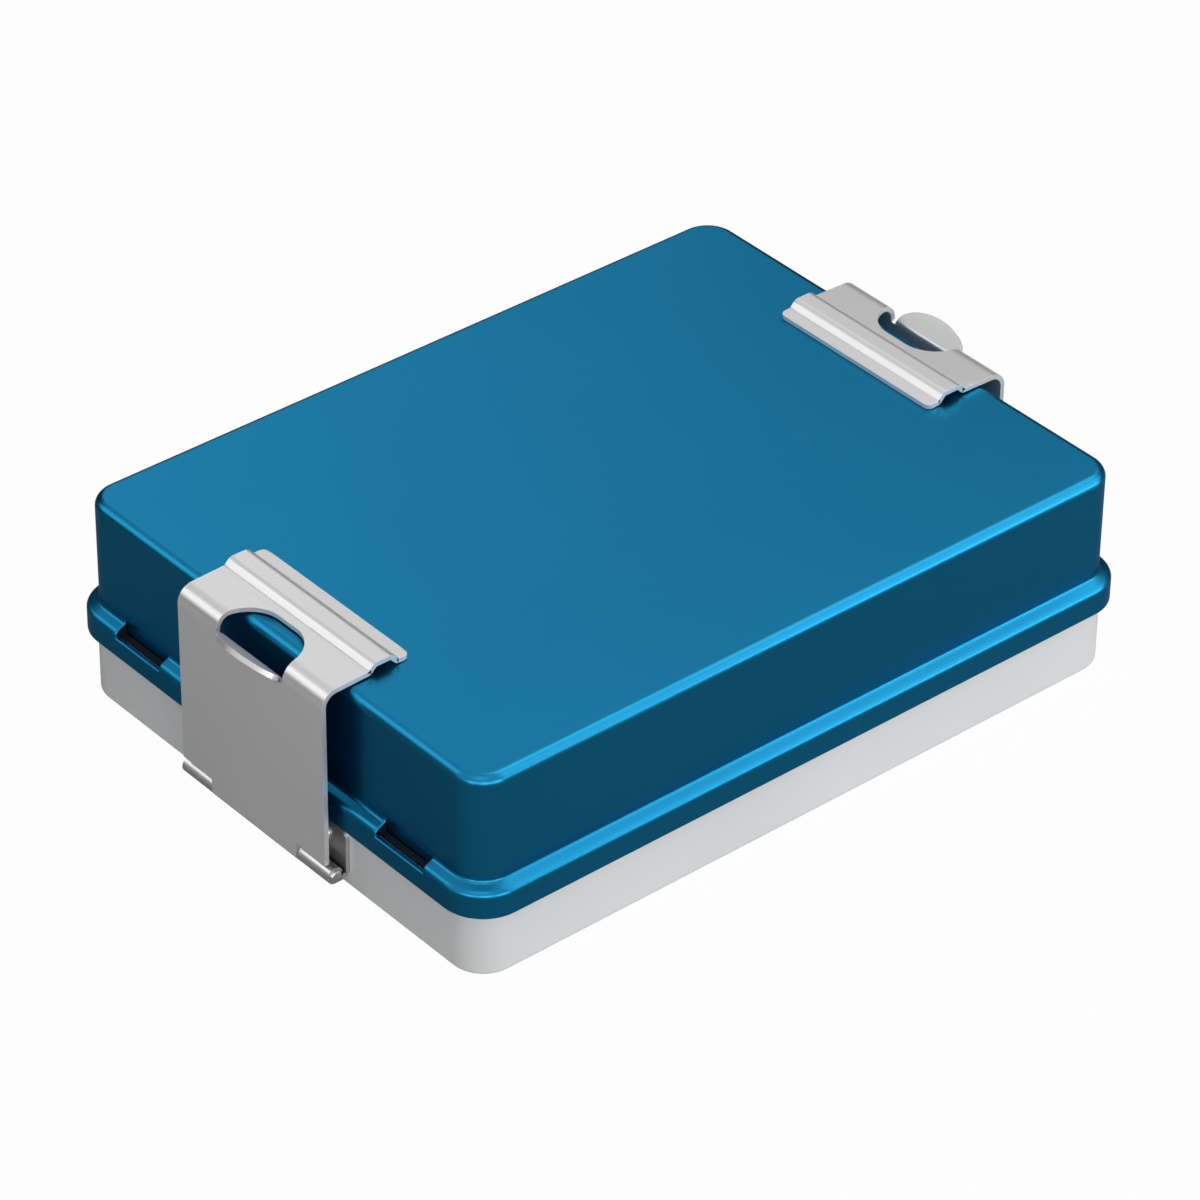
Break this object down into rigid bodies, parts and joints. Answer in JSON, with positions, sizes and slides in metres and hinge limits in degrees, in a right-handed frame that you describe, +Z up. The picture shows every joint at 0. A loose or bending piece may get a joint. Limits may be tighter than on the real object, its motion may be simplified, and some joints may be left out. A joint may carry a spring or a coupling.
{
  "type": "dental instrument cassette",
  "caption": "Rectangular dental instrument cassette with a deep blue lid, a silver base pan, a spring clip at each short end and a perforated tray inside.",
  "frame": {"origin": "bottom centre of the closed cassette, on the surface it stands on", "axes": "+X along the long side towards the right clip, +Y across the box, +Z up"},
  "size_m": [0.212, 0.149, 0.0568],
  "materials": {
    "blue_anodised": "satin blue anodised",
    "silver_anodised": "satin natural anodised",
    "stainless": "satin",
    "spring_steel": "satin",
    "dark_silicone": "matte",
    "grey_silicone": "matte",
    "blue_silicone": "matte",
    "filter_paper": "matte non-woven"
  },
  "bodies": {
    "base": {"base_pan": "silver_anodised", "filter_sheet": "filter_paper", "filter_retainer": "stainless", "retainer_studs": "stainless", "hinge_bracket_left": "stainless", "hinge_bracket_right": "stainless", "bracket_rivets_left": "stainless", "bracket_rivets_right": "stainless", "hinge_pin_left": "stainless", "hinge_pin_right": "stainless"},
    "lid": {"lid_shell": "blue_anodised", "lid_gasket": "dark_silicone"},
    "clip_left": {"clip_left": "spring_steel"},
    "clip_right": {"clip_right": "spring_steel"},
    "tray": {"instrument_tray": "stainless", "tray_feet": "grey_silicone", "holder_channel_left": "stainless", "holder_channel_right": "stainless", "holder_strip_left": "blue_silicone", "holder_strip_right": "blue_silicone", "holder_rivets_left": "stainless", "holder_rivets_right": "stainless"},
    "catch_left": {"catch_left": "stainless"},
    "catch_right": {"catch_right": "stainless"}
  },
  "joints": [
    {"name": "clip_left_swing", "type": "hinge", "parent": "base", "child": "clip_left", "pos_m": [-0.09935, 0, 0.0048], "axis": [0, -1, 0], "range_deg": [0, 88]},
    {"name": "clip_right_swing", "type": "hinge", "parent": "base", "child": "clip_right", "pos_m": [0.09935, 0, 0.0048], "axis": [0, 1, 0], "range_deg": [0, 88]},
    {"name": "lid_lift", "type": "slide", "parent": "base", "child": "lid", "axis": [0, 0, 1], "range_m": [0, 0.0154]},
    {"name": "tray_lift", "type": "slide", "parent": "base", "child": "tray", "axis": [0, 0, 1], "range_m": [0, 0.02]},
    {"name": "catch_left_turn", "type": "hinge", "parent": "base", "child": "catch_left", "pos_m": [-0.045, 0, 0.0057], "axis": [0, 0, 1], "range_deg": [0, 90]},
    {"name": "catch_right_turn", "type": "hinge", "parent": "base", "child": "catch_right", "pos_m": [0.045, 0, 0.0057], "axis": [0, 0, 1], "range_deg": [0, 90]}
  ],
  "couplings": [
    {"joint": "clip_right_swing", "follows": "clip_left_swing", "ratio": 1},
    {"joint": "lid_lift", "follows": "clip_left_swing", "m_per_rad": 0.01}
  ]
}
